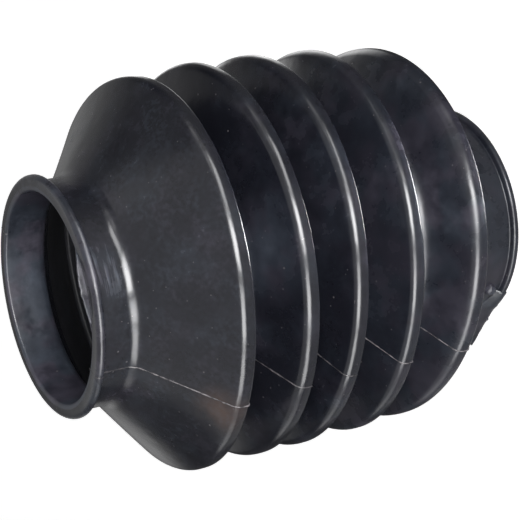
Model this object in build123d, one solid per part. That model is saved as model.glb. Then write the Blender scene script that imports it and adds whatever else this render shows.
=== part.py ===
"""Rubber bellows boot: one moulding with five folds and a lipped cuff at each end.

The boot stands on its lower cuff.  Z is the axis of both cuffs and the lower mouth lies in the
plane z = 0.  The wall is drawn as one half section, with the radius along X and the height along
Y.  The cuffs are turned from it.  The rubber has taken a set, so that each fold leans a little:
every corner of the folds' section becomes a ring that leans with its fold, and the skin runs
straight from ring to ring.  All sizes are in millimetres, and angles in degrees.
"""
from build123d import *
import math
import os

# ---- folds -------------------------------------------------------------------------
FOLD_RADIUS = 76.0        # outside of each crest
VALLEY_POINT = 49.5       # radius where the flanks of two folds would meet, but for the rounding
VALLEY_ROUND = 3.0        # rounding at the bottom of each valley, outside
LOW_VALLEY_ROUND = 4.5    # the lowest valley lies open, and is fuller
CREST_LAND = 4.6          # flat band round each crest, before its edges are rounded
UPPER_ROUND = 3.8         # rounding of the upper edge of a crest band
LOWER_ROUND = 1.1         # rounding of its lower edge, beside the mould's parting
FOLD_WALL = 2.5           # rubber thickness of the folds
STEP_1 = 24.1             # from the lowest crest up to the second; the folds lie unevenly
STEP_2 = 26.9             # second to third
STEP_3 = 22.1             # third to fourth
STEP_4 = 25.7             # fourth to highest

# how far each fold leans, and the direction in which it rises, from the lowest fold up
FOLD_LEANS = ((5.5, 115), (3.5, 150), (3.0, 115), (1.0, 65), (1.0, 30))

# ---- cuffs -------------------------------------------------------------------------
CUFF_BORE = 80.0          # inside diameter, which grips the tube or housing
CUFF_WALL = 3.5           # rubber thickness of the cuff
CUFF_LENGTH = 15.5        # from the mouth to the root of the end cone
LIP_PROUD = 2.5           # how far the end lip stands out from the cuff
LIP_THICK = 3.0           # axial thickness of the end lip
LIP_ROUND = 1.1           # rounding of the lip's outer edges
MOUTH_EDGE = 0.8          # bevel on the bore at the mouth
ROOT_ROUND = 3.5          # rounding between cuff and end cone, outside
LOWER_REACH = 42.2        # from the lower mouth to the lowest crest band
UPPER_REACH = 40.3        # from the highest crest band to the upper mouth

# ---- worked out from the sizes above -------------------------------------------------
BORE_RADIUS = CUFF_BORE / 2
CUFF_RADIUS = BORE_RADIUS + CUFF_WALL
LIP_RADIUS = CUFF_RADIUS + LIP_PROUD
CREST_STEPS = (STEP_1, STEP_2, STEP_3, STEP_4)
HEIGHT = LOWER_REACH + sum(CREST_STEPS) + CREST_LAND + UPPER_REACH
SAME = 1e-4               # two places closer than this are one


def crest_bands():
    """Lower and upper edge of each crest band, from the lowest fold up."""
    low = LOWER_REACH
    bands = [(low, low + CREST_LAND)]
    for step in CREST_STEPS:
        low += step
        bands.append((low, low + CREST_LAND))
    return bands


def valley_heights():
    """Height of each valley, half-way between two crest bands."""
    bands = crest_bands()
    return [(below[1] + above[0]) / 2 for below, above in zip(bands, bands[1:])]


def cone_radius_at_mouth(reach):
    """Radius where an end cone, run on inside its cuff, meets the plane of the mouth."""
    slope = (FOLD_RADIUS - CUFF_RADIUS) / (reach - CUFF_LENGTH)
    return CUFF_RADIUS - CUFF_LENGTH * slope


def corners_at(section, radius, heights=None):
    """Corners of a section that lie at one radius, and at the given heights only if there are any."""
    found = [corner for corner in section.vertices() if abs(corner.X - radius) < SAME]
    if heights is None:
        return found
    return [corner for corner in found if min(abs(corner.Y - height) for height in heights) < SAME]


def folds_section():
    """Half section of the folded body, solid to the axis, its end cones run on to the mouths."""
    corners = [(0, 0), (cone_radius_at_mouth(LOWER_REACH), 0)]
    for (low, high), valley in zip(crest_bands(), valley_heights() + [None]):
        corners += [(FOLD_RADIUS, low), (FOLD_RADIUS, high)]
        if valley is not None:
            corners.append((VALLEY_POINT, valley))
    corners += [(cone_radius_at_mouth(UPPER_REACH), HEIGHT), (0, HEIGHT)]
    section = make_face(Polyline(*corners, close=True))
    lowest, *others = valley_heights()
    section = fillet(corners_at(section, VALLEY_POINT, [lowest]), LOW_VALLEY_ROUND)
    return fillet(corners_at(section, VALLEY_POINT, others), VALLEY_ROUND)


def lean_at(height):
    """Slope towards X and Y of the ring at one height.  The rings of a crest lean as their fold
    does, those of a valley half-way between its two folds, and those of a cuff not at all."""
    edge = UPPER_ROUND / 2
    zones = [(0, CUFF_LENGTH, Vector())]
    for (low, high), (lean, towards) in zip(crest_bands(), FOLD_LEANS):
        slope = Vector(math.tan(math.radians(lean)), 0).rotate(Axis.Z, towards)
        zones.append((low - edge, high + edge, slope))
    zones.append((HEIGHT - CUFF_LENGTH, HEIGHT, Vector()))
    below = [slope for low, high, slope in zones if low - SAME < height][-1]
    above = [slope for low, high, slope in zones if high + SAME > height][0]
    return (below + above) / 2


def ring(radius, height):
    """One round of the boot's skin, leaning as its part of the folds does."""
    slope = lean_at(height)
    plane = Plane(origin=(0, 0, height), x_dir=(1, 0, slope.X), z_dir=(-slope.X, -slope.Y, 1))
    return plane * Circle(radius)


def stations(section, end_radius):
    """Height and radius of the rings that carry a section's skin, from the lower end up: where it
    passes the end radius, at its corners, and within its roundings, once or twice in each."""
    found = []
    for edge in section.edges():
        parts = 1
        if edge.geom_type == GeomType.CIRCLE:
            parts = 3 if edge.length > edge.radius * math.pi / 2 else 2
        places = [edge.position_at(part / parts) for part in range(parts + 1)]
        found += [(place.Y, place.X) for place in places if place.X > end_radius]
        start, stop = places[0].X, places[-1].X
        if min(start, stop) > FOLD_WALL + SAME and (start - end_radius) * (stop - end_radius) < 0:
            found.append((edge.position_at((end_radius - start) / (stop - start)).Y, end_radius))
    found.sort()
    return found[:1] + [here for last, here in zip(found, found[1:]) if here[0] - last[0] > SAME]


def stretched(section, end_radius):
    """The folds as a solid, its skin stretched from ring to ring between two ends of one radius."""
    return loft([ring(radius, height) for height, radius in stations(section, end_radius)], ruled=True)


def outer_folds():
    """The folds filled to the axis, with the edges of their crests rounded."""
    section = folds_section()
    lows, highs = zip(*crest_bands())
    section = fillet(corners_at(section, FOLD_RADIUS, highs), UPPER_ROUND)
    section = fillet(corners_at(section, FOLD_RADIUS, lows), LOWER_ROUND)
    return stretched(section, CUFF_RADIUS)


def hollow_folds():
    """The room inside the folds, set in by their wall and run on into both bores."""
    section = offset(folds_section(), -FOLD_WALL, kind=Kind.INTERSECTION)
    return stretched(section, BORE_RADIUS - FOLD_WALL)


def cuff(end, root, inwards):
    """One cuff, filled to the axis, from its rounded lip to the root of the end cone."""
    wall = Polyline((0, end), (CUFF_RADIUS, end), (CUFF_RADIUS, root), (0, root), close=True)
    inside = end + inwards * LIP_THICK
    lip = Polyline((0, end), (LIP_RADIUS, end), (LIP_RADIUS, inside), (0, inside), close=True)
    section = make_face(wall) + fillet(corners_at(make_face(lip), LIP_RADIUS), LIP_ROUND)
    return revolve(Plane.XZ * section, Axis.Z)


def round_edges(solid, radius, heights):
    """Round edges of a solid that have one radius and lie level at the given heights."""
    return [edge for edge in solid.edges().filter_by(GeomType.CIRCLE)
            if abs(edge.radius - radius) < SAME
            and min(abs(edge.center().Z - height) for height in heights) < SAME]


def bellows_boot():
    """The whole boot as one solid."""
    boot = outer_folds() + cuff(0, CUFF_LENGTH, 1) + cuff(HEIGHT, HEIGHT - CUFF_LENGTH, -1)
    boot = fillet(round_edges(boot, CUFF_RADIUS, (CUFF_LENGTH, HEIGHT - CUFF_LENGTH)), ROOT_ROUND)
    bore = Cylinder(BORE_RADIUS, HEIGHT, align=(Align.CENTER, Align.CENTER, Align.MIN))
    boot -= hollow_folds() + bore
    return chamfer(round_edges(boot, BORE_RADIUS, (0, HEIGHT)), MOUTH_EDGE)


os.makedirs("parts", exist_ok=True)
boot = bellows_boot()
export_step(boot, "parts/bellows_boot.step")
size = boot.bounding_box().size
print(f"bellows_boot {size.X:.1f} x {size.Y:.1f} x {size.Z:.1f} mm, {boot.volume / 1000:.1f} cm3 of rubber")
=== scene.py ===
"""Rubber bellows boot, dressed: its moulded skin, its satin rubber and a plain pale studio.

The boot stands on its lower cuff with its axis on Z.  Lengths are in metres, written in
millimetres and multiplied by MM; tables that say so stay in millimetres.  Angles round the axis
are in degrees from +X.
"""
import math
import bmesh
import bpy
from mathutils import Matrix, Vector, noise


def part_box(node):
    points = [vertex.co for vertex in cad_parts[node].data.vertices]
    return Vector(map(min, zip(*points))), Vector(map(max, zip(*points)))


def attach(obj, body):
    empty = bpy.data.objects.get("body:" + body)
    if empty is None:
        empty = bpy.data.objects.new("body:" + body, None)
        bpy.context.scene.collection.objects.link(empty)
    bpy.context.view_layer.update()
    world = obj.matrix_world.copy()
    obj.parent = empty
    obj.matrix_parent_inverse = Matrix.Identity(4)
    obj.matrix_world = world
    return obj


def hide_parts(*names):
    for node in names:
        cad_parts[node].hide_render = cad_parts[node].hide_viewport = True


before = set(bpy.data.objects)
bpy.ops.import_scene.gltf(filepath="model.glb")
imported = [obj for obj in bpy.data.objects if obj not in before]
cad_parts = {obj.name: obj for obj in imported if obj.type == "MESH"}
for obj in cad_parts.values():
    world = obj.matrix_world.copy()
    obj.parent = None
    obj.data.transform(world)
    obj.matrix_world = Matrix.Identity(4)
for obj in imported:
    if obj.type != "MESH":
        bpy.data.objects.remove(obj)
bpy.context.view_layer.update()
cad_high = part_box("bellows_boot")[1]

MM = 0.001

# ---- sizes of the moulding ------------------------------------------------------------
FOLD_RADIUS = cad_high.x                  # outside of the crests
HEIGHT = cad_high.z
VALLEY_POINT = 49.5 * MM                  # where the flanks of two folds would meet
CREST_LAND = 4.6 * MM                     # flat band round each crest
FOLD_WALL = 2.5 * MM
CREST_HEIGHTS = [height * MM for height in (42.2, 66.3, 93.2, 115.3, 141.0)]
BORE_RADIUS = 40.0 * MM
CUFF_RADIUS = 43.5 * MM
CUFF_LENGTH = 15.5 * MM
LIP_RADIUS = 46.0 * MM
LIP_THICK = 3.0 * MM

# ---- roundings ------------------------------------------------------------------------
CREST_UPPER_ROUND = 3.8 * MM
CREST_LOWER_ROUNDS = [rounding * MM for rounding in (1.1, 1.1, 0.4, 0.25, 1.1)]
VALLEY_ROUNDS = [rounding * MM for rounding in (4.5, 3.0, 3.0, 3.0)]
ROOT_ROUND = 6.0 * MM                     # between cuff and end cone
LOWER_LIP_ROUND = 1.4 * MM                # both edges of the lower lip
UPPER_LIP_ROUND = 2.1 * MM                # the upper lip's edge at the mouth
LIP_BACK_ROUND = 0.8 * MM                 # its edge towards the cone
LIP_ROOT_ROUND = 0.5 * MM
MOUTH_ROUND = 1.1 * MM
INNER_ROUND = 0.6 * MM
BORE_END_ROUND = 4.0 * MM

# ---- how fine the skin is ----------------------------------------------------------------
TURN_STEPS = 240                          # round the axis
LONGEST_EDGE = 4.5 * MM                   # of the section
ARC_STEPS = 6                             # in a rounding
INNER_STEPS = 2                           # in a small rounding inside
SAME_PLACE = 0.001 * MM                   # corners closer than this are one

# ---- how each fold has settled, from the lowest up -------------------------------------
# lean in degrees, side that it rises towards, then slip, oval and saddle in millimetres
FOLD_SET = (
    (5.5, 115, 0.8, 0.8, -0.2),
    (3.5, 150, 0.2, -0.8, 0.4),
    (3.0, 115, -0.2, -1.2, 0.4),
    (1.0, 65, -0.2, -0.8, 0.2),
    (1.0, 30, 0.8, 0.4, 1.2),
)
UPPER_CUFF_SET = (0.0, 0, 1.8, 0.7, 0.0)
LOWER_CUFF_SET = (0.0, 0, 0.0, 0.0, 0.0)
SLIP_SIDE = 132                           # side that slips go towards
OVAL_SIDE = 42                            # side that ovals are longest towards
SADDLE_SIDE = 10                          # side that saddles rise towards

# ---- fuller root: the upper cone's root stands out a little on one side ------------------
ROOT_FULL = 0.6 * MM
ROOT_FULL_REACH = 9 * MM                  # it fades to nothing this far from its middle
ROOT_FULL_MIDDLE = Vector((CUFF_RADIUS + 0.5 * MM, HEIGHT - CUFF_LENGTH + 0.2 * MM))
ROOT_FULL_SIDE, ROOT_FULL_SPREAD = 211, 17
ROOT_FULL_UP = 26                         # degrees above level in which it stands out
ROOT_FULL_FROM = CUFF_RADIUS - 1.5 * MM   # the bore, at a smaller radius, keeps its place

# ---- parting seam --------------------------------------------------------------------------
LOW_CUFF_CORNERS = 4                      # corners of the section before the seam starts
SEAM_WIDTH = 0.7 * MM
SEAM_RISE = 0.28 * MM
SEAM_RISE_MEAN, SEAM_RISE_LEAST = 0.8, 0.25  # shares of the rise
SEAM_RISE_ON_LIP = 0.5                    # share on the upper lip
SEAM_LIP_FROM = HEIGHT - LIP_THICK - 1 * MM
SEAM_SUNK = 0.12 * MM                     # how far its foot lies below the skin
SEAM_STEP = 0.9 * MM                      # length of its pieces
# unevenness of its width and of its rise: size of each wave in millimetres, and strength
SEAM_WIDTH_WAVES = ((1.5, 0.5),)
SEAM_RISE_WAVES = ((3.5, 1.2), (1.1, 0.72))
# beads on it: radius, height and width of each, in millimetres
SEAM_BEADS = ((75.0, 145.2, 1.1), (74.9, 119.2, 0.8), (74.9, 97.0, 0.9), (74.9, 70.3, 1.2),
              (74.8, 46.3, 1.3), (44.4, 169.0, 1.3), (40.4, 185.4, 0.8))
BEAD_SHAPE = (0.8, 1.1, 1.0, 1)

# ---- web on the lower lip ------------------------------------------------------------------
REMNANT_FROM, REMNANT_TO = 132, 171       # sides between which it stands
REMNANT_INSIDE = CUFF_RADIUS - 0.5 * MM
REMNANT_TOP = 2.6 * MM                    # of the part on the lip
# its section before it is drawn out: radius and height
REMNANT_SECTION = ((REMNANT_INSIDE, 0.3 * MM), (LIP_RADIUS, 0.3 * MM),
                   (LIP_RADIUS + 0.2 * MM, 1.4 * MM), (LIP_RADIUS, REMNANT_TOP),
                   (REMNANT_INSIDE, 5.0 * MM))
REMNANT_STEPS = 40
REMNANT_LONGEST_EDGE = 1.5 * MM
REMNANT_PLAIN = 0.3                       # share of its length that follows the lip
REMNANT_PROUD = 20 * MM                   # how fast the rest turns out, towards its first side
REMNANT_CLIMB = 11 * MM                   # how far it climbs the cuff at that end
REMNANT_RAGGED = 0.35 * MM                # unevenness of its edge, with its waves
REMNANT_WAVES = ((4, 1.0), (1.3, 0.4))
NUB_SIDE = 148.5
NUB_RADIUS, NUB_HEIGHT, NUB_SIZE = 47.9 * MM, 1.2 * MM, 0.7 * MM
WEB_END_SIDE = 173
WEB_END_HEIGHT = 8.5 * MM
WEB_END_REACH = (2.4 * MM, 2.6 * MM, 2.6 * MM, 1)
WEB_END_WAVES = ((2.0, 0.30), (0.7, 0.12))

# ---- flash and crumbs on the upper lip -------------------------------------------------------
FLASH_FROM, FLASH_TO = 202, 243           # sides between which the flash stands
FLASH_STEPS = 90
FLASH_RISE = 2.3 * MM
FLASH_SWELL_POWER = 1.2                   # how sharply it rises from both ends
FLASH_SWELL = (0.75, 1.25)                # share of its rise near its first and its last side
# unevenness of its height, and how far it wavers in and out in millimetres: length of each ripple
# in degrees, row of the noise, and strength
FLASH_RIPPLES = ((3, (0, 0), 0.25), (5 / 6, (0, 5), 0.1))
FLASH_WAVERS = ((5, (3, 0), 0.15),)
FLASH_DRAWN = 1.0 * MM                    # height of its section before it is drawn out
# its section: out from the bore and up from the mouth, in millimetres
FLASH_SECTION = ((1.0, -1.2), (0.9, 0.0), (0.9, 0.6), (0.8, 0.88), (0.5, 1.0), (0.2, 0.88),
                 (0.1, 0.6), (0.1, 0.0), (0.0, -1.2))
# side of each crumb, and its height and width in millimetres
EDGE_CRUMBS = ((66, 184.9, 0.7), (62, 185.0, 0.5), (59, 184.7, 0.8), (55, 184.9, 0.6),
               (52.5, 185.0, 0.9), (49, 184.8, 0.6), (45, 184.9, 0.7), (42, 184.7, 0.5),
               (37, 184.9, 0.8), (33, 184.8, 0.5), (96, 184.9, 0.6), (92, 184.7, 0.5),
               (355, 184.8, 0.6))
CRUMB_SHAPE = (0.5, 1.4, 0.7, 1)
CRUMB_WAVES = ((0.5, 0.6),)


# ---- places ------------------------------------------------------------------------------------
def direction(side, up):
    """Unit vector at an angle round the axis and an angle above level."""
    a, b = math.radians(side), math.radians(up)
    return Vector((math.cos(a) * math.cos(b), math.sin(a) * math.cos(b), math.sin(b)))


def spot(side, radius, height):
    """Point at an angle round the axis, a radius and a height."""
    return direction(side, 0) * radius + Vector((0, 0, height))


def side_of(point):
    """Angle of a point round the axis, from 0 to 360."""
    return math.degrees(math.atan2(point.y, point.x)) % 360


def share_between(value, start, stop):
    """How far a value has come from start to stop, from 0 to 1 and held there."""
    return min(max((value - start) / (stop - start), 0), 1)


def uneven(point, waves):
    """Noise at a point: each wave has its size in millimetres and its strength."""
    return sum(strength * noise.noise(point / (size * MM)) for size, strength in waves)


def uneven_round(side, ripples):
    """Noise round the axis: each ripple has its length in degrees, its row and its strength."""
    return sum(strength * noise.noise(Vector((side / length, *row)))
               for length, row, strength in ripples)


# ---- section of the moulding ---------------------------------------------------------------
def fold_corners():
    """Outside corners of the folds with the end cones run on to the mouths: radius and height."""
    def mouth_radius(reach):
        slope = (FOLD_RADIUS - CUFF_RADIUS) / (reach - CUFF_LENGTH)
        return CUFF_RADIUS - CUFF_LENGTH * slope

    corners = [Vector((mouth_radius(CREST_HEIGHTS[0]), 0))]
    for low, above in zip(CREST_HEIGHTS, CREST_HEIGHTS[1:] + [None]):
        high = low + CREST_LAND
        corners += [Vector((FOLD_RADIUS, low)), Vector((FOLD_RADIUS, high))]
        if above is not None:
            corners.append(Vector((VALLEY_POINT, (high + above) / 2)))
    corners.append(Vector((mouth_radius(HEIGHT - high), HEIGHT)))
    return corners


def set_in(corners, wall):
    """The same line of corners moved in towards the axis by a wall, with mitred corners."""
    moved = []
    for index, corner in enumerate(corners):
        sides = []
        for near_end, far_end in ((index - 1, index), (index, index + 1)):
            if near_end >= 0 and far_end < len(corners):
                run = (corners[far_end] - corners[near_end]).normalized()
                sides.append(Vector((-run.y, run.x)))
        mitre = sum(sides, Vector((0, 0))) / len(sides)
        moved.append(corner + mitre * (wall / mitre.length_squared))
    return moved


def where_radius(start, end, radius):
    """Point on the line from start to end that lies at one radius."""
    return start.lerp(end, (radius - start.x) / (end.x - start.x))


def outer_section():
    """Outside of the wall from mouth to mouth: radius, height and rounding of each corner."""
    folds = fold_corners()
    outline = [
        (BORE_RADIUS, 0, MOUTH_ROUND),
        (LIP_RADIUS, 0, LOWER_LIP_ROUND),
        (LIP_RADIUS, LIP_THICK, LOWER_LIP_ROUND),
        (CUFF_RADIUS, LIP_THICK, LIP_ROOT_ROUND),
        (CUFF_RADIUS, CUFF_LENGTH, ROOT_ROUND),
    ]
    for fold, low in enumerate(CREST_HEIGHTS):
        if fold:
            valley = folds[3 * fold]
            outline.append((valley.x, valley.y, VALLEY_ROUNDS[fold - 1]))
        outline.append((FOLD_RADIUS, low, CREST_LOWER_ROUNDS[fold]))
        outline.append((FOLD_RADIUS, low + CREST_LAND, CREST_UPPER_ROUND))
    return outline + [
        (CUFF_RADIUS, HEIGHT - CUFF_LENGTH, ROOT_ROUND),
        (CUFF_RADIUS, HEIGHT - LIP_THICK, LIP_ROOT_ROUND),
        (LIP_RADIUS, HEIGHT - LIP_THICK, LIP_BACK_ROUND),
        (LIP_RADIUS, HEIGHT, UPPER_LIP_ROUND),
        (BORE_RADIUS, HEIGHT, MOUTH_ROUND),
    ]


def inner_section():
    """Inside of the wall, from the upper bore down to the lower one."""
    hollow = set_in(fold_corners(), FOLD_WALL)
    hollow[0] = where_radius(hollow[0], hollow[1], BORE_RADIUS)
    hollow[-1] = where_radius(hollow[-1], hollow[-2], BORE_RADIUS)
    roundings = [BORE_END_ROUND, INNER_ROUND, INNER_ROUND]
    for valley_round in VALLEY_ROUNDS:
        roundings += [valley_round + FOLD_WALL, INNER_ROUND, INNER_ROUND]
    roundings.append(BORE_END_ROUND)
    inside = [(corner.x, corner.y, rounding) for corner, rounding in zip(hollow, roundings)]
    return inside[::-1]


def round_corner(shape, corner, rounding, steps):
    """Rounds one corner of a wire outline by an arc of the given radius."""
    ends = [edge.other_vert(corner).co - corner.co for edge in corner.link_edges]
    turn = math.pi - ends[0].angle(ends[1])
    reach = rounding * math.tan(turn / 2)
    bmesh.ops.bevel(shape, geom=[corner], offset=reach, offset_type='OFFSET', affect='VERTICES',
                    segments=steps, profile=0.5, material=-1)


def divide_long_edges(shape, longest):
    """Cuts the straight runs of a wire outline into pieces no longer than the given length."""
    for edge in list(shape.edges):
        cuts = math.ceil(edge.calc_length() / longest) - 1
        if cuts > 0:
            bmesh.ops.subdivide_edges(shape, edges=[edge], cuts=cuts)


def draw_outline(shape, outline, longest, closed):
    """Draws an outline as wires in the plane y = 0, its corners rounded, its long runs divided."""
    corners = [shape.verts.new((radius, 0, height)) for radius, height, _ in outline]
    for start, end in zip(corners, corners[1:] + corners[:1] if closed else corners[1:]):
        shape.edges.new((start, end))
    rounded = list(zip(corners, outline))
    for corner, (_, _, rounding) in rounded if closed else rounded[1:-1]:
        round_corner(shape, corner, rounding, INNER_STEPS if rounding == INNER_ROUND else ARC_STEPS)
    divide_long_edges(shape, longest)


# ---- how the boot has settled ----------------------------------------------------------------
def stations():
    """Heights with the set that the boot has there: both cuffs whole, each crest land whole."""
    found = [(0, LOWER_CUFF_SET), (CUFF_LENGTH, LOWER_CUFF_SET)]
    for low, fold_set in zip(CREST_HEIGHTS, FOLD_SET):
        found += [(low, fold_set), (low + CREST_LAND, fold_set)]
    return found + [(HEIGHT - CUFF_LENGTH, UPPER_CUFF_SET), (HEIGHT, UPPER_CUFF_SET)]


def set_at(height, places):
    """Lean east, lean north, slip, oval and saddle at one height, between its two stations."""
    for (low, below), (high, above) in zip(places, places[1:]):
        if height <= high:
            break
    share = share_between(height, low, high)

    def parts(fold_set):
        lean, way, slip, oval, saddle = fold_set
        rise = math.tan(math.radians(lean))
        side = math.radians(way)
        return rise * math.cos(side), rise * math.sin(side), slip * MM, oval * MM, saddle * MM

    return [a + (b - a) * share for a, b in zip(parts(below), parts(above))]


def settled(point, places):
    """Where a point of the straight boot lies on the settled one."""
    lean_x, lean_y, slip, oval, saddle = set_at(point.z, places)
    angle = math.atan2(point.y, point.x)
    share = math.hypot(point.x, point.y) / FOLD_RADIUS
    wider = 1 + oval / FOLD_RADIUS * math.cos(2 * (angle - math.radians(OVAL_SIDE)))
    side = math.radians(SLIP_SIDE)
    return Vector((
        point.x * wider + slip * math.cos(side),
        point.y * wider + slip * math.sin(side),
        point.z + lean_x * point.x + lean_y * point.y
        + saddle * share ** 2 * math.cos(2 * (angle - math.radians(SADDLE_SIDE))),
    ))


def settle(shape):
    """Moves every point of a straight shape to its place on the settled boot."""
    places = stations()
    for vert in shape.verts:
        vert.co = settled(vert.co, places)


def fuller_root(point):
    """Where a point lies on the moulding that is fuller on one side of the upper cone's root."""
    radius = math.hypot(point.x, point.y)
    side = side_of(point)
    away = (Vector((radius, point.z)) - ROOT_FULL_MIDDLE).length / ROOT_FULL_REACH
    aside = abs(side - ROOT_FULL_SIDE) / ROOT_FULL_SPREAD
    if away >= 1 or aside >= 1 or radius < ROOT_FULL_FROM:
        return point
    fill = ROOT_FULL * (1 - away ** 2) ** 2 * (1 - aside ** 2) ** 2
    return point + direction(side, ROOT_FULL_UP) * fill


# ---- pieces ------------------------------------------------------------------------------------
def in_scene(name, data):
    """A new object of the scene."""
    thing = bpy.data.objects.new(name, data)
    bpy.context.scene.collection.objects.link(thing)
    return thing


def object_from(shape, name, material):
    """Turns a finished bmesh into an object of one material."""
    mesh = bpy.data.meshes.new(name)
    shape.to_mesh(mesh)
    shape.free()
    mesh.materials.append(material)
    return in_scene(name, mesh)


def piece_from(shape, name, material):
    """Turns a finished bmesh into a smooth piece that rides on the boot's body."""
    bmesh.ops.recalc_face_normals(shape, faces=list(shape.faces))
    for face in shape.faces:
        face.smooth = True
    piece = object_from(shape, name, material)
    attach(piece, "root")
    return piece


def turn_round(shape, verts, angle):
    """Turns points of a shape round the axis."""
    bmesh.ops.rotate(shape, verts=verts, cent=(0, 0, 0),
                     matrix=Matrix.Rotation(math.radians(angle), 3, 'Z'))


def spin_round(shape, drawn, angle, steps, closed=False):
    """Sweeps what is drawn round the axis, and joins it up with itself if it is closed."""
    bmesh.ops.spin(shape, geom=drawn, cent=(0, 0, 0), axis=(0, 0, 1),
                   angle=math.radians(angle), steps=steps, use_merge=closed)


def turned_strip(section, start, stop, steps):
    """A solid strip from one side to another, turned from a section of radius and height."""
    shape = bmesh.new()
    corners = [shape.verts.new((radius, 0, height)) for radius, height in section]
    face = shape.faces.new(corners)
    turn_round(shape, corners, start)
    spin_round(shape, [face], stop - start, steps)
    return shape


def lump(shape, centre, side, radius, stretch, fineness, waves):
    """Adds an uneven lump on one side, its stretch given outwards, sideways and upwards."""
    turn = Matrix.Rotation(math.radians(side), 4, 'Z')
    place = Matrix.Translation(centre) @ turn @ Matrix.Diagonal(stretch)
    made = bmesh.ops.create_icosphere(shape, subdivisions=fineness, radius=radius, matrix=place)
    for vert in made["verts"]:
        vert.co += (vert.co - centre) * uneven(vert.co, waves)


def moulded_skin(material):
    """The whole boot, turned from its rounded section and then settled."""
    shape = bmesh.new()
    draw_outline(shape, outer_section() + inner_section(), LONGEST_EDGE, closed=True)
    spin_round(shape, list(shape.verts) + list(shape.edges), 360, TURN_STEPS, closed=True)
    bmesh.ops.remove_doubles(shape, verts=list(shape.verts), dist=SAME_PLACE)
    for vert in shape.verts:
        vert.co = fuller_root(vert.co)
    settle(shape)
    skin = piece_from(shape, "boot_skin", material)
    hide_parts("bellows_boot")
    return skin


def seam_line():
    """Thin raised line that the mould's parting leaves on the outside, closed below the skin."""
    shape = bmesh.new()
    draw_outline(shape, outer_section()[LOW_CUFF_CORNERS:], SEAM_STEP, closed=False)
    ridge_edges = list(shape.edges)
    ridge = list(shape.verts)
    foot = []
    for way in (1, -1):
        widened = bmesh.ops.extrude_edge_only(shape, edges=ridge_edges)["geom"]
        for vert in [item for item in widened if isinstance(item, bmesh.types.BMVert)]:
            vert.co.y += way * SEAM_WIDTH / 2 * (1 + uneven(vert.co, SEAM_WIDTH_WAVES))
            foot.append(vert)
    bmesh.ops.recalc_face_normals(shape, faces=list(shape.faces))
    shape.normal_update()
    outermost = max(ridge, key=lambda vert: vert.co.x)
    outwards = 1 if outermost.normal.x > 0 else -1
    for vert in ridge:
        rise = SEAM_RISE * (SEAM_RISE_ON_LIP if vert.co.z > SEAM_LIP_FROM else 1)
        share = max(SEAM_RISE_LEAST, SEAM_RISE_MEAN + uneven(vert.co, SEAM_RISE_WAVES))
        vert.co += vert.normal * outwards * rise * share
    for vert in foot:
        vert.co -= vert.normal * outwards * SEAM_SUNK
    # both sides of the foot are joined below the skin, then the two ends are closed
    foot_edges = [edge for edge in shape.edges if edge.is_boundary
                  and edge.verts[0].co.y * edge.verts[1].co.y > 0]
    bmesh.ops.bridge_loops(shape, edges=foot_edges)
    bmesh.ops.holes_fill(shape, edges=[edge for edge in shape.edges if edge.is_boundary])
    return shape


def parting_seam(material):
    """The seam line on both sides, with the small beads that stand on it at crests and roots."""
    shape = seam_line()
    for radius, height, size in SEAM_BEADS:
        place = Matrix.Translation((radius * MM, 0, height * MM))
        bmesh.ops.create_icosphere(shape, subdivisions=2, radius=size * MM / 2,
                                   matrix=place @ Matrix.Diagonal(BEAD_SHAPE))
    everything = list(shape.verts) + list(shape.edges) + list(shape.faces)
    twin = bmesh.ops.duplicate(shape, geom=everything)["geom"]
    twin_verts = [item for item in twin if isinstance(item, bmesh.types.BMVert)]
    turn_round(shape, twin_verts, 180)
    settle(shape)
    return piece_from(shape, "parting_seam", material)


def lip_remnant(material):
    """Ragged web that the mould has left between the lower lip and the cone, with a small nub."""
    shape = turned_strip(REMNANT_SECTION, REMNANT_FROM, REMNANT_TO, REMNANT_STEPS)
    long_edges = [edge for edge in shape.edges if edge.calc_length() > REMNANT_LONGEST_EDGE]
    bmesh.ops.subdivide_edges(shape, edges=long_edges, cuts=2, use_grid_fill=True)
    for vert in shape.verts:
        to_end = share_between(side_of(vert.co), REMNANT_TO, REMNANT_FROM)
        radius = math.hypot(vert.co.x, vert.co.y)
        out = (radius - REMNANT_INSIDE) / (LIP_RADIUS - REMNANT_INSIDE)
        proud = REMNANT_PROUD * max(to_end - REMNANT_PLAIN, 0) ** 2
        proud += REMNANT_RAGGED * uneven(vert.co, REMNANT_WAVES)
        wider = (radius + out * proud) / radius
        vert.co.x *= wider
        vert.co.y *= wider
        if vert.co.z > REMNANT_TOP:
            vert.co.z += (1 - out) * REMNANT_CLIMB * to_end
    nub = Matrix.Translation(spot(NUB_SIDE, NUB_RADIUS, NUB_HEIGHT))
    bmesh.ops.create_icosphere(shape, subdivisions=3, radius=NUB_SIZE, matrix=nub)
    return piece_from(shape, "lip_remnant", material)


def web_end(material):
    """Pale torn end of the web, a flat dome on the lower cuff."""
    shape = bmesh.new()
    centre = spot(WEB_END_SIDE, CUFF_RADIUS, WEB_END_HEIGHT)
    lump(shape, centre, WEB_END_SIDE, 1.0, WEB_END_REACH, 4, WEB_END_WAVES)
    return piece_from(shape, "web_end", material)


def edge_crumbs(material):
    """Pale crumbs of flash left on the outer edge of the upper lip."""
    shape = bmesh.new()
    for side, height, size in EDGE_CRUMBS:
        centre = spot(side, LIP_RADIUS, height * MM)
        lump(shape, centre, side, size * MM / 2, CRUMB_SHAPE, 2, CRUMB_WAVES)
    settle(shape)
    return piece_from(shape, "edge_crumbs", material)


def flash_height(side):
    """Height of the flash at one side: nothing at its ends, and a little more past its middle."""
    along = share_between(side, FLASH_FROM, FLASH_TO)
    first, last = FLASH_SWELL
    swell = math.sin(math.pi * along) ** FLASH_SWELL_POWER * (first + (last - first) * along)
    return FLASH_RISE * swell * (1 + uneven_round(side, FLASH_RIPPLES))


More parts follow.
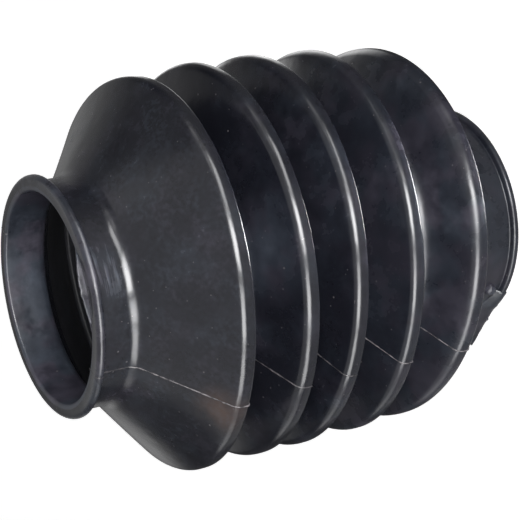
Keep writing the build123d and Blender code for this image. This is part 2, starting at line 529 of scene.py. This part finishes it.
def mouth_flash(material):
    """Thin ragged skin of flash that stands up from the bore's edge on one side of the mouth."""
    section = [(BORE_RADIUS + out * MM, HEIGHT + up * MM) for out, up in FLASH_SECTION]
    shape = turned_strip(section, FLASH_FROM, FLASH_TO, FLASH_STEPS)
    for vert in shape.verts:
        if vert.co.z > HEIGHT + FLASH_DRAWN / 2:
            side = side_of(vert.co)
            narrower = 1 - uneven_round(side, FLASH_WAVERS) * MM / BORE_RADIUS
            vert.co.x *= narrower
            vert.co.y *= narrower
            vert.co.z += flash_height(side) - FLASH_DRAWN
    settle(shape)
    return piece_from(shape, "mouth_flash", material)


# ---- nodes -------------------------------------------------------------------------------------
def feed(tree, node, values):
    """Feeds a node's sockets: each value is a number, a colour or another node's output."""
    for socket, value in values.items():
        if isinstance(value, bpy.types.NodeSocket):
            tree.links.new(value, node.inputs[socket])
        else:
            node.inputs[socket].default_value = value


def added(tree, kind, values=(), **settings):
    """A new node with some of its sockets fed."""
    node = tree.nodes.new("ShaderNode" + kind)
    for name, setting in settings.items():
        setattr(node, name, setting)
    feed(tree, node, dict(values))
    return node


def reckoned(tree, operation, first, *others):
    """Result of a sum, product or the like, taken step by step over all the values."""
    for other in others:
        first = added(tree, "Math", {0: first, 1: other}, operation=operation).outputs[0]
    return first


def vector_reckoned(tree, operation, first, second):
    """Result of reckoning with two vectors: a vector, or a number for a dot product or distance."""
    node = added(tree, "VectorMath", {0: first, 1: second}, operation=operation)
    return node.outputs["Value" if operation in ('DOT_PRODUCT', 'DISTANCE') else "Vector"]


def mixed(tree, share, first, second):
    """A colour between two colours, by a share."""
    return added(tree, "Mix", {0: share, 6: first, 7: second}, data_type='RGBA').outputs[2]


def faded(tree, value, start, stop, low=0.0, high=1.0):
    """A value taken smoothly from low at start to high at stop, and held there."""
    steps = {"Value": value, "From Min": start, "From Max": stop, "To Min": low, "To Max": high}
    return added(tree, "MapRange", steps, interpolation_type='SMOOTHSTEP').outputs[0]


def ramped(tree, length, ramp):
    """A length taken along a ramp: its start and stop in millimetres, then low and high."""
    start, stop, *levels = ramp
    return faded(tree, length, start * MM, stop * MM, *levels)


def mottled(tree, place, pattern):
    """Cloudy patches, from 0 to 1: patch size in millimetres, detail, and where they fade in."""
    size, detail, start, stop = pattern
    cloud = added(tree, "TexNoise", {"Vector": place, "Scale": 1 / (size * MM), "Detail": detail})
    return faded(tree, cloud.outputs[0], start, stop)


def near(tree, place, side, radius, height, reach):
    """1 at a spot, fading to 0 at the given reach from it, all in millimetres but its side."""
    away = vector_reckoned(tree, 'DISTANCE', place, spot(side, radius * MM, height * MM))
    return faded(tree, away, reach * MM, 0)


def off_axis(tree, place):
    """Distance from the axis."""
    level = vector_reckoned(tree, 'MULTIPLY', place, (1, 1, 0))
    return added(tree, "VectorMath", {0: level}, operation='LENGTH').outputs["Value"]


def towards(tree, place, side):
    """How far a place lies from the axis towards one side."""
    return vector_reckoned(tree, 'DOT_PRODUCT', place, direction(side, 0))


def sprinkled(tree, place, spacing, size, share):
    """Fine specks: spacing and size in millimetres, and the share of places that hold one."""
    cells = added(tree, "TexVoronoi", {"Vector": place, "Scale": 1 / (spacing * MM)})
    draw = added(tree, "SeparateColor", {0: cells.outputs["Color"]}).outputs[0]
    chosen = reckoned(tree, 'LESS_THAN', draw, share)
    edge = size / spacing
    dot = faded(tree, cells.outputs["Distance"], edge, SPECK_CORE * edge)
    return reckoned(tree, 'MULTIPLY', dot, chosen)


def grained(tree, place, grain):
    """Relief of fine noise: size of its features and its height, both in millimetres."""
    size, height = grain
    noise_node = added(tree, "TexNoise", {"Vector": place, "Scale": 1 / (size * MM),
                                          "Detail": GRAIN_DETAIL})
    return reckoned(tree, 'MULTIPLY', noise_node.outputs[0], height * MM)


def bumped(tree, relief):
    """The surface's normal under a relief in metres."""
    return added(tree, "Bump", {"Height": relief, "Strength": 1.0, "Distance": 1.0}).outputs[0]


def new_material(name):
    """A new material, its tree of nodes and its shader."""
    material = bpy.data.materials.new(name)
    material.use_nodes = True
    return material, material.node_tree, material.node_tree.nodes["Principled BSDF"]


# ---- rubber -------------------------------------------------------------------------------------
RUBBER_IOR = 1.45
RUBBER_BLACK = (0.0095, 0.0102, 0.0158, 1)
RUBBER_BROWN = (0.078, 0.050, 0.042, 1)
SPECK_PALE = (0.150, 0.140, 0.150, 1)
BLOOM_BLUE = (0.086, 0.104, 0.140, 1)
BLOOM_MAUVE = (0.112, 0.104, 0.144, 1)
RUBBER_DULL = (0.040, 0.038, 0.043, 1)
RUBBER_PALE = (0.300, 0.275, 0.290, 1)

# patterns: patch size in millimetres, detail, and where they fade in
CLOUDS = (26, 3, 0.40, 0.72)
GRAIN = (6, 3, 0.2, 0.85)
SMEARS = (14, 4, 0.38, 0.64)
DUST = (1.8, 4, 0.35, 0.75)
DUSTY = (9, 2, 0.35, 0.65)                # places where dust lies thicker
STREAKS = (1.1, 2, 0.42, 0.7)
BLOTS = (9, 4, 0.2, 0.6)                  # of the stain
TINTS = (15, 3, 0.42, 0.6)                # blue or mauve bloom
WEAR = (2.5, 3, 0.35, 0.62)
STREAK_STRETCH = (0.1, 0.1, 1)            # streaks run round the boot

# spots: side in degrees, then radius, height and reach in millimetres
DRAWN_AND_SHEEN_SPOT = (227, 44, 178.5, 13)         # marks drawn round the upper cuff, with a painted sheen over and between them
PAINTED_LIGHT_SPOT = (222, 62, 122, 24)           # painted pool of light on the upper flank of the fourth fold
STAIN_SPOT = (176, 72, 148, 14)           # brown stain near the edge of the highest fold
WEB_SPOT = (WEB_END_SIDE, 44, 8, 4)       # the torn end of the web

# ramps over height (UP), over radius (OUT) and over how far a place lies towards a side (ALONG):
# start and stop in millimetres, then low and high where these aren't 0 and 1
DRAWN_AND_SHEEN_UP = (173, 175)
LOW_HAZE_UP = (118, 42, 0.0, 0.21)        # haze thickens down the folds
LOW_HAZE_SIDE, LOW_HAZE_ALONG = 195, (-30, 45, 0.15, 1.0)
BORE_HAZE_OUT = (42, 41)                  # and lies in the upper bore
BORE_HAZE_UP = (164, 168)
BORE_HAZE_SIDE, BORE_HAZE_ALONG = 95, (-35, 35, 0.25, 0.46)
LIP_HAZE_UP = (181.5, 182.5, 0.0, 0.17)   # and on the upper lip
LIP_HAZE_OUT = (43.5, 45)
DUST_UP = (140, 146, 0.035, 0.13)         # more dust lies on the upper cone
FLANK_OUT = (73, 70)                      # flanks of the folds, without their crests
FLANK_UP = (142, 139)
MIDDLE_UP, MIDDLE_END_UP = (94, 98), (142, 138)  # upper folds, where the seam is worn less
CUFF_UP = (172.5, 169.5)                  # where the upper cuff ends

# strengths of the bloom, of the painted light and sheen, and of the wear
PAINTED_LIGHT_HAZE = 0.42
WEB_HAZE = 0.9
HAZE_TEXTURE = 0.5                        # share of the haze that grain and smears break up
PATCH_BLOOM = 0.24                        # where clouds and grain meet
DUST_EVEN = 0.3                           # dust outside the places where it lies thicker
DRAWN_AND_SHEEN_BLOOM, PAINTED_SHEEN_EVEN = 0.7, 0.25       # of the drawn marks with their painted sheen, and of the painted sheen between them
MIDDLE_LESS_WORN = 0.6

# specks: spacing and size in millimetres, and the share of places that hold one
COARSE_SPECKS = (5, 0.5, 0.25)
FINE_SPECKS = (2.6, 0.3, 0.2)
SPECK_CORE = 0.3                          # share of a speck's size that is at full strength

# roughness
SATIN_ROUGH, BLOOM_ROUGH = 0.21, 0.42
FULL_BLOOM = 0.6                          # amount of bloom at which it is roughest
FLANK_ROUGHER = 0.03
INSIDE_ROUGHER = 0.35
INSIDE_UP_TO = HEIGHT - CUFF_LENGTH - 5 * MM  # the bore above it is as smooth as the outside
FACING_IN = -1 * MM                       # radius by the cosine at which the skin faces inwards
WORN_ROUGHS = (0.32, 0.5)

# relief: size of the features and their height, in millimetres
WAVES = (12, 0.25)
PORES = (0.8, 0.003)
WORN_GRAIN = (0.6, 0.03)
STREAK_DEPTH = 0.05
GRAIN_DETAIL = 2


def rubber_haze(tree, place, height):
    """Haze, thickest on the lowest folds and inside the upper bore, and a painted pool of light on
    one flank, broken up by its texture.
    """
    low = reckoned(tree, 'MULTIPLY', ramped(tree, height, LOW_HAZE_UP),
                   ramped(tree, towards(tree, place, LOW_HAZE_SIDE), LOW_HAZE_ALONG))
    slip = direction(SLIP_SIDE, 0) * UPPER_CUFF_SET[2] * MM
    off_cuff_axis = off_axis(tree, vector_reckoned(tree, 'SUBTRACT', place, slip))
    bore = reckoned(tree, 'MULTIPLY', ramped(tree, off_cuff_axis, BORE_HAZE_OUT),
                    ramped(tree, height, BORE_HAZE_UP),
                    ramped(tree, towards(tree, place, BORE_HAZE_SIDE), BORE_HAZE_ALONG))
    # a painted pool of light on the upper flank of the fourth fold
    painted_light = reckoned(tree, 'MULTIPLY', near(tree, place, *PAINTED_LIGHT_SPOT), PAINTED_LIGHT_HAZE)
    lip = reckoned(tree, 'MULTIPLY', ramped(tree, height, LIP_HAZE_UP),
                   ramped(tree, off_cuff_axis, LIP_HAZE_OUT))
    web = reckoned(tree, 'MULTIPLY', near(tree, place, *WEB_SPOT), WEB_HAZE)
    haze = reckoned(tree, 'ADD', low, bore, painted_light, lip, web)
    texture = reckoned(tree, 'ADD', mottled(tree, place, GRAIN), mottled(tree, place, SMEARS))
    texture = reckoned(tree, 'MULTIPLY', texture, HAZE_TEXTURE)
    return reckoned(tree, 'MULTIPLY', haze, reckoned(tree, 'ADD', texture, 1 - HAZE_TEXTURE))


def rubber_bloom(tree, place, height, streaks, drawn):
    """How much grey bloom lies on the rubber: haze, clouds, dust and drawn marks together, with a
    painted pool of light and a painted sheen.
    """
    patches = reckoned(tree, 'MULTIPLY', mottled(tree, place, CLOUDS), mottled(tree, place, GRAIN),
                       PATCH_BLOOM)
    dusty = reckoned(tree, 'ADD', mottled(tree, place, DUSTY), DUST_EVEN)
    dust = reckoned(tree, 'MULTIPLY', mottled(tree, place, DUST), dusty,
                    ramped(tree, height, DUST_UP))
    # painted sheen on the upper cuff, even between the drawn streaks and over them
    drawn_marks_and_sheen = reckoned(tree, 'ADD', streaks, PAINTED_SHEEN_EVEN)
    drawn_marks_and_sheen = reckoned(tree, 'MULTIPLY', drawn_marks_and_sheen, DRAWN_AND_SHEEN_BLOOM, drawn)
    bloom = reckoned(tree, 'ADD', rubber_haze(tree, place, height), patches, dust, drawn_marks_and_sheen)
    return reckoned(tree, 'MINIMUM', bloom, 1.0)


def rubber_colour(tree, place, bloom):
    """Black rubber, brown at its stain, with the bloom over it and pale specks on top."""
    stain = reckoned(tree, 'MULTIPLY', mottled(tree, place, BLOTS), near(tree, place, *STAIN_SPOT))
    black = mixed(tree, stain, RUBBER_BLACK, RUBBER_BROWN)
    grey = mixed(tree, mottled(tree, place, TINTS), BLOOM_BLUE, BLOOM_MAUVE)
    specks = reckoned(tree, 'MAXIMUM', sprinkled(tree, place, *COARSE_SPECKS),
                      sprinkled(tree, place, *FINE_SPECKS))
    return mixed(tree, specks, mixed(tree, bloom, black, grey), SPECK_PALE)


def rubber_roughness(tree, place, height, bloom):
    """Satin where it is bare, duller under bloom, on the flanks of the folds and inside."""
    flank = reckoned(tree, 'MULTIPLY', ramped(tree, off_axis(tree, place), FLANK_OUT),
                     ramped(tree, height, FLANK_UP))
    level = vector_reckoned(tree, 'MULTIPLY', place, (1, 1, 0))
    facing = added(tree, "NewGeometry").outputs["True Normal"]
    outwards = vector_reckoned(tree, 'DOT_PRODUCT', level, facing)
    inside = reckoned(tree, 'MULTIPLY', reckoned(tree, 'LESS_THAN', outwards, FACING_IN),
                      reckoned(tree, 'LESS_THAN', height, INSIDE_UP_TO))
    return reckoned(tree, 'ADD', faded(tree, bloom, 0.0, FULL_BLOOM, SATIN_ROUGH, BLOOM_ROUGH),
                    reckoned(tree, 'MULTIPLY', flank, FLANK_ROUGHER),
                    reckoned(tree, 'MULTIPLY', inside, INSIDE_ROUGHER))


def rubber():
    """Satin black moulded rubber with a patchy grey bloom, pale dust and a brown stain, and painted
    light and sheen in its bloom.
    """
    material, tree, shader = new_material("satin_rubber")
    place = added(tree, "TexCoord").outputs["Object"]
    height = added(tree, "SeparateXYZ", {0: place}).outputs["Z"]
    stretched = vector_reckoned(tree, 'MULTIPLY', place, STREAK_STRETCH)
    streaks = mottled(tree, stretched, STREAKS)
    # where the drawn marks and their painted sheen lie
    drawn = reckoned(tree, 'MULTIPLY', near(tree, place, *DRAWN_AND_SHEEN_SPOT),
                     ramped(tree, height, DRAWN_AND_SHEEN_UP))
    bloom = rubber_bloom(tree, place, height, streaks, drawn)
    relief = reckoned(tree, 'ADD', grained(tree, place, WAVES), grained(tree, place, PORES),
                      reckoned(tree, 'MULTIPLY', streaks, drawn, STREAK_DEPTH * MM))
    feed(tree, shader, {"IOR": RUBBER_IOR,
                        "Base Color": rubber_colour(tree, place, bloom),
                        "Roughness": rubber_roughness(tree, place, height, bloom),
                        "Normal": bumped(tree, relief)})
    return material


def worn_rubber(name, share_on_cuff):
    """Rubber gone pale and dull where it is thin, and on the upper cuff by the given share."""
    material, tree, shader = new_material(name)
    place = added(tree, "TexCoord").outputs["Object"]
    height = added(tree, "SeparateXYZ", {0: place}).outputs["Z"]
    middle = reckoned(tree, 'MULTIPLY', ramped(tree, height, MIDDLE_UP),
                      ramped(tree, height, MIDDLE_END_UP), MIDDLE_LESS_WORN)
    worn = reckoned(tree, 'MULTIPLY', mottled(tree, place, WEAR),
                    ramped(tree, height, (*CUFF_UP, share_on_cuff, 1.0)),
                    reckoned(tree, 'SUBTRACT', 1.0, middle))
    feed(tree, shader, {"IOR": RUBBER_IOR,
                        "Base Color": mixed(tree, worn, RUBBER_DULL, RUBBER_PALE),
                        "Roughness": faded(tree, worn, 0, 1, *WORN_ROUGHS),
                        "Normal": bumped(tree, grained(tree, place, WORN_GRAIN))})
    return material


# ---- studio ------------------------------------------------------------------------------------
WHITE = (1, 1, 1, 1)
BLACK = (0, 0, 0, 1)

FLOOR_RADIUS = 3.0
FLOOR_SIDES = 64
FLOOR_TONE = (0.8, 0.8, 0.8, 1)
FLOOR_ROUGH = 0.9
FLOOR_LIFT = 0.8                           # what the floor gives out to the camera
FLOOR_LIFT_MIRRORED = 0.05                 # and to reflections

WORLD_TONE = (0.8, 0.8, 0.8, 1)            # of what is seen of it
WORLD_LIGHT, WORLD_SEEN = 0.2, 1.0         # strength as light, and as seen

CARD_FROM, CARD_TO = -115, 125             # sides between which the card stands
CARD_STEPS = 48
CARD_INSIDE, CARD_RADIUS = 55 * MM, 150 * MM
CARD_LIFT, CARD_HIGH = 0.5 * MM, 350 * MM
CARD_STEP_AT, CARD_STEP = -72, 105 * MM    # it stands no higher than this before that side
CARD_WHITE_ALONG = (0, 0.1, 1)             # its grey turns white along this vector
CARD_WHITE = (240, 310, 0.27, 1)           # by this ramp in millimetres
CARD_DARK_ALONG = (0, -0.55, 1)            # and it is darker at its foot in the same way
CARD_DARK = (80, 200, 0.25, 1)
# lighter and darker patches, painted glints and painted shade that only reflections see: side,
# height, reach in millimetres, and brightness in the middle
CARD_PATCHES = ((5, 165, 75, 0.42), (42, 305, 75, 0.5), (-30, 225, 60, 0.13),
                (-42, 145, 85, 0.03), (-24, 26, 62, 3.0), (-8, 90, 36, 3.0),
                (78, 170, 62, 0.4), (85, 147, 45, 0.6))

AIM = Vector((-2.2, 2.4, 94.9)) * MM       # middle of the picture, near the middle of the boot
VIEW_TOWARDS = 42.36                       # side that the camera looks towards
VIEW_DOWN = 28.67                          # how far it looks down
VIEW_ROLL = -101.2                         # turned so that the boot's axis lies across the picture
VIEW_DISTANCE = 572.8 * MM
LENS = 100.0
SENSOR_WIDTH = 36

# soft lights round the camera, in metres: degrees to the right and up from its line of sight,
# distance, width, height, how bright the face looks beside a white of 1, and whether it shows in
# reflections only, where it adds nothing to the level of the light
SOFT_LIGHTS = (
    ("key", 4, 10, 0.9, 0.30, 0.34, 13, False),
    ("fill", 5, -38, 0.9, 0.30, 0.50, 4, False),
    ("glint_key", 4, 10, 0.88, 0.44, 0.36, 17, True),
    ("glint_high", 5, 42, 0.88, 0.30, 0.46, 10, True),
    ("glint_turn", -24, 46, 0.88, 0.16, 0.14, 3, True),
    ("glint_end", -42, 58, 0.88, 0.22, 0.14, 1.6, True),
    ("glint_side", 5, -26, 0.88, 0.40, 0.44, 13, True),
    ("glint_low", 5, -60, 0.88, 0.34, 0.40, 9, True),
    ("glint_foot", 5, -98, 0.88, 0.36, 0.36, 0.9, True),
)
LOW_SIDE = 233                             # small light that stands low beside the boot
LOW_RADIUS, LOW_HEIGHT = 98 * MM, 4 * MM
LOW_WIDTH, LOW_DEPTH = 50 * MM, 20 * MM
LOW_GLARE = 9
LOW_SPREAD = 50
LOW_AIM_HEIGHT = 140 * MM


def floor():
    """Pale floor that reads white and keeps the boot's shadow."""
    shape = bmesh.new()
    bmesh.ops.create_circle(shape, cap_ends=True, radius=FLOOR_RADIUS, segments=FLOOR_SIDES)
    material, tree, shader = new_material("pale_floor")
    path = added(tree, "LightPath").outputs
    seen = reckoned(tree, 'MAXIMUM', path["Is Camera Ray"], path["Is Transmission Ray"])
    lift = reckoned(tree, 'ADD', reckoned(tree, 'MULTIPLY', seen, FLOOR_LIFT),
                    reckoned(tree, 'MULTIPLY', path["Is Glossy Ray"], FLOOR_LIFT_MIRRORED))
    feed(tree, shader, {"Base Color": FLOOR_TONE, "Roughness": FLOOR_ROUGH,
                        "Specular IOR Level": 0.0, "Emission Color": WHITE,
                        "Emission Strength": lift})
    object_from(shape, "floor", material)


def surroundings():
    """White to the camera and in reflections, soft grey as light."""
    world = bpy.data.worlds.new("surroundings")
    bpy.context.scene.world = world
    world.use_nodes = True
    tree = world.node_tree
    light = tree.nodes["Background"]
    feed(tree, light, {"Color": WHITE, "Strength": WORLD_LIGHT})
    white = added(tree, "Background", {"Color": WORLD_TONE, "Strength": WORLD_SEEN})
    path = added(tree, "LightPath").outputs
    seen = reckoned(tree, 'MAXIMUM', path["Is Camera Ray"], path["Is Glossy Ray"],
                    path["Is Transmission Ray"])
    mix = added(tree, "MixShader", {0: seen, 1: light.outputs[0], 2: white.outputs[0]})
    feed(tree, tree.nodes["World Output"], {"Surface": mix.outputs[0]})


def card_brightness(tree):
    """Brightness of the card: grey, white at its top, dark at its foot, with soft patches."""
    place = added(tree, "TexCoord").outputs["Object"]
    height = vector_reckoned(tree, 'DOT_PRODUCT', place, CARD_WHITE_ALONG)
    foot = vector_reckoned(tree, 'DOT_PRODUCT', place, CARD_DARK_ALONG)
    brightness = reckoned(tree, 'MULTIPLY', ramped(tree, height, CARD_WHITE),
                          ramped(tree, foot, CARD_DARK))
    for side, high, reach, level in CARD_PATCHES:
        patch = near(tree, place, side, CARD_RADIUS / MM, high, reach)
        brightness = added(tree, "Mix", {0: patch, 2: brightness, 3: level}).outputs[0]
    return brightness


def grey_card():
    """Bent grey card behind the boot and under its far side.

    Only reflections see it, and it keeps the far flanks dark.
    """
    shape = bmesh.new()
    corners = [shape.verts.new(spot(CARD_FROM, radius, height)) for radius, height in
               ((CARD_INSIDE, CARD_LIFT), (CARD_RADIUS, CARD_LIFT), (CARD_RADIUS, CARD_HIGH))]
    for start, end in zip(corners, corners[1:]):
        shape.edges.new((start, end))
    spin_round(shape, list(shape.verts) + list(shape.edges), CARD_TO - CARD_FROM, CARD_STEPS)
    for vert in shape.verts:
        side = math.degrees(math.atan2(vert.co.y, vert.co.x))
        if vert.co.z > CARD_STEP and side < CARD_STEP_AT:
            vert.co.z = CARD_STEP
    material, tree, shader = new_material("grey_card")
    feed(tree, shader, {"Base Color": BLACK, "Specular IOR Level": 0.0, "Emission Color": WHITE,
                        "Emission Strength": card_brightness(tree)})
    card = object_from(shape, "grey_card", material)
    card.visible_camera = card.visible_diffuse = card.visible_shadow = False


def camera():
    """The camera, looking down at the upper mouth."""
    looking = direction(VIEW_TOWARDS, -VIEW_DOWN)
    data = bpy.data.cameras.new("camera")
    data.lens = LENS
    data.sensor_width = SENSOR_WIDTH
    eye = in_scene("camera", data)
    turn = looking.to_track_quat('-Z', 'Y').to_matrix().to_4x4()
    place = Matrix.Translation(AIM - looking * VIEW_DISTANCE)
    eye.matrix_world = place @ turn @ Matrix.Rotation(math.radians(VIEW_ROLL), 4, 'Z')
    bpy.context.scene.camera = eye
    return eye


def area_light(name, width, height, glare, place):
    """Rectangular light that the camera doesn't see, as bright as its glare beside a white of 1."""
    data = bpy.data.lights.new(name, 'AREA')
    data.shape = 'RECTANGLE'
    data.size = width
    data.size_y = height
    data.energy = glare * math.pi * width * height
    light = in_scene(name, data)
    light.visible_camera = False
    light.matrix_world = place
    return light


def seen_from(eye, right, up, distance):
    """Place and turn of a light by its angles from the camera's line of sight, facing the boot."""
    eye_frame = eye.matrix_world.to_3x3()
    a, b = math.radians(right), math.radians(up)
    back = eye_frame @ Vector((math.sin(a) * math.cos(b), math.sin(b), math.cos(a) * math.cos(b)))
    across = eye_frame.col[0]
    across = (across - back * across.dot(back)).normalized()
    turn = Matrix((across, back.cross(across), back)).transposed().to_4x4()
    return Matrix.Translation(AIM + back * distance) @ turn


def lights(eye):
    """Soft lights round the camera, and a small one that stands low beside the boot."""
    for name, right, up, distance, width, height, glare, glint_only in SOFT_LIGHTS:
        light = area_light(name, width, height, glare, seen_from(eye, right, up, distance))
        light.visible_diffuse = not glint_only
    place = spot(LOW_SIDE, LOW_RADIUS, LOW_HEIGHT)
    facing = spot(LOW_SIDE, FOLD_RADIUS, LOW_AIM_HEIGHT) - place
    turn = facing.to_track_quat('-Z', 'Y').to_matrix().to_4x4()
    light = area_light("low", LOW_WIDTH, LOW_DEPTH, LOW_GLARE, Matrix.Translation(place) @ turn)
    light.data.spread = math.radians(LOW_SPREAD)


boot_rubber = rubber()
moulded_skin(boot_rubber)
torn_rubber = worn_rubber("torn_rubber", 1.0)
parting_seam(worn_rubber("seam_rubber", 0.15))
lip_remnant(boot_rubber)
web_end(boot_rubber)
edge_crumbs(torn_rubber)
mouth_flash(boot_rubber)
floor()
grey_card()
surroundings()
lights(camera())
bpy.context.scene.view_settings.view_transform = 'Standard'
